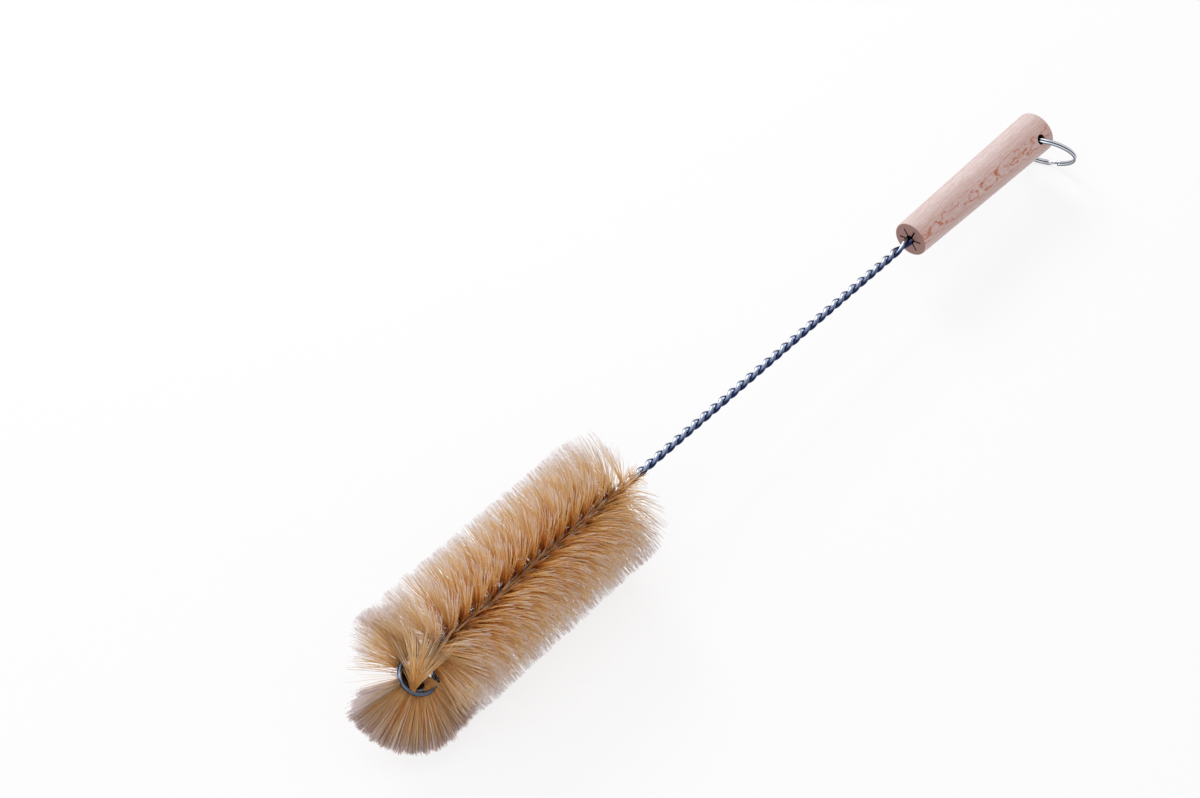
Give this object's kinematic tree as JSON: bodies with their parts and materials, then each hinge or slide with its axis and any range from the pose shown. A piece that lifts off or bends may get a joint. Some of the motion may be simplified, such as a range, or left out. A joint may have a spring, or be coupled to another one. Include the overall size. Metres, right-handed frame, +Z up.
{
  "type": "bottle brush",
  "caption": "Bottle brush: natural bristles in a twisted wire stem, a bristle fan on a looped tip, a turned wooden handle and a split hanging ring.",
  "frame": {"origin": "middle of the base of the brush's box, on the surface it lies on", "axes": "+X along the brush from its tip to its handle, +Z up as it lies"},
  "size_m": [0.4759, 0.0618, 0.0636],
  "materials": {
    "wood": "bare sanded beech, matt",
    "ring": "bright nickel plate",
    "wire": "galvanised, smooth",
    "bristle": "pale natural bristle, slightly glossy, bleached tips"
  },
  "bodies": {
    "brush": {"handle": "wood", "twisted_wire": "wire", "bristle_head": "bristle", "tip_fan": "bristle"},
    "ring": {"hanging_ring": "ring"}
  },
  "joints": [
    {"name": "ring_swing", "type": "hinge", "parent": "brush", "child": "ring", "pos_m": [0.21985, 0, 0.02368], "axis": [0.0127, -0.829, 0.559], "range_deg": [-103, 209]}
  ]
}
